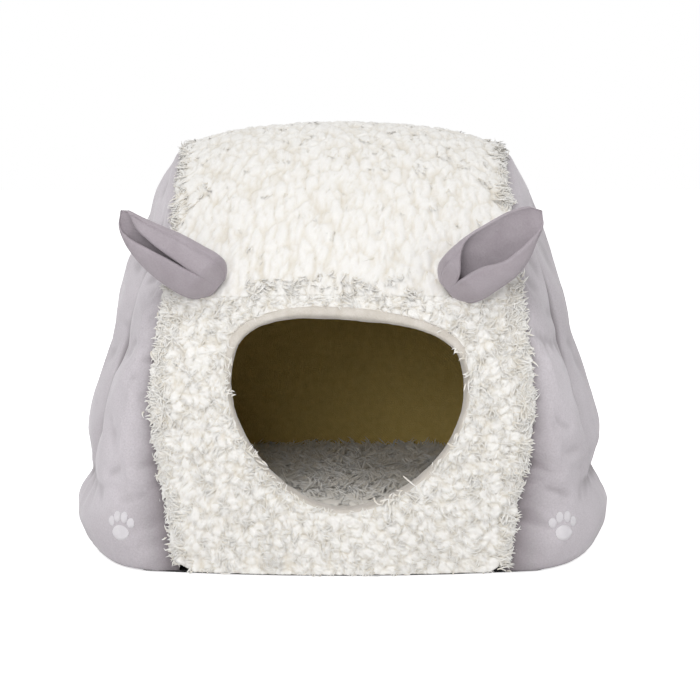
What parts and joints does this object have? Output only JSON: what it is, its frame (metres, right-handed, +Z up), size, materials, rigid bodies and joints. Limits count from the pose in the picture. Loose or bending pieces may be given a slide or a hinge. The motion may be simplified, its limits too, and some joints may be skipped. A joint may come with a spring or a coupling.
{
  "type": "pet cushion bed",
  "caption": "Covered cushion bed for a small pet: curly pile front, roof and back, filled velvet sides, round opening, soft ears and a loose inner cushion.",
  "frame": {"origin": "on the floor, under the middle of the bed's outer box", "axes": "+Z up, -Y towards the front with the opening, +X to the right seen from the front"},
  "size_m": [0.454, 0.424, 0.3577],
  "materials": {
    "velvet_grey": "matte",
    "velvet_ear": "matte",
    "sherpa_cream": "matte",
    "binding_plush": "matte",
    "lining_mustard": "matte",
    "fibre_white": "matte",
    "foam_pale": "matte",
    "grip_black": "matte"
  },
  "bodies": {
    "bed": {"base_grip_sheet": "grip_black", "base_foam": "foam_pale", "floor_lining": "lining_mustard", "front_sherpa": "sherpa_cream", "front_foam": "foam_pale", "front_lining": "lining_mustard", "opening_binding": "binding_plush", "roof_and_back_sherpa": "sherpa_cream", "roof_foam": "foam_pale", "back_foam": "foam_pale", "roof_and_back_lining": "lining_mustard", "left_side_velvet": "velvet_grey", "left_front_filling": "fibre_white", "left_middle_filling": "fibre_white", "left_rear_filling": "fibre_white", "left_bolster_filling": "fibre_white", "left_side_foam": "foam_pale", "left_side_lining": "lining_mustard", "right_side_velvet": "velvet_grey", "right_front_filling": "fibre_white", "right_middle_filling": "fibre_white", "right_rear_filling": "fibre_white", "right_bolster_filling": "fibre_white", "right_side_foam": "foam_pale", "right_side_lining": "lining_mustard"},
    "left_ear": {"left_ear_front": "velvet_ear", "left_ear_filling": "fibre_white", "left_ear_back": "velvet_ear"},
    "right_ear": {"right_ear_front": "velvet_ear", "right_ear_filling": "fibre_white", "right_ear_back": "velvet_ear"},
    "cushion": {"cushion_top_cover": "sherpa_cream", "cushion_underside": "lining_mustard", "cushion_filling": "fibre_white"}
  },
  "joints": [
    {"name": "left_ear_flop", "type": "hinge", "parent": "bed", "child": "left_ear", "pos_m": [-0.10341, -0.163, 0.228], "axis": [0.6412, -0.0448, 0.766], "range_deg": [-12, 50], "stiffness_Nm_per_rad": 0.02},
    {"name": "right_ear_flop", "type": "hinge", "parent": "bed", "child": "right_ear", "pos_m": [0.086, -0.16505, 0.228], "axis": [0.6412, 0.0448, -0.766], "range_deg": [-12, 50], "stiffness_Nm_per_rad": 0.02},
    {"name": "cushion_lift", "type": "slide", "parent": "bed", "child": "cushion", "axis": [0, 0, 1], "range_m": [0, 0.02]}
  ]
}
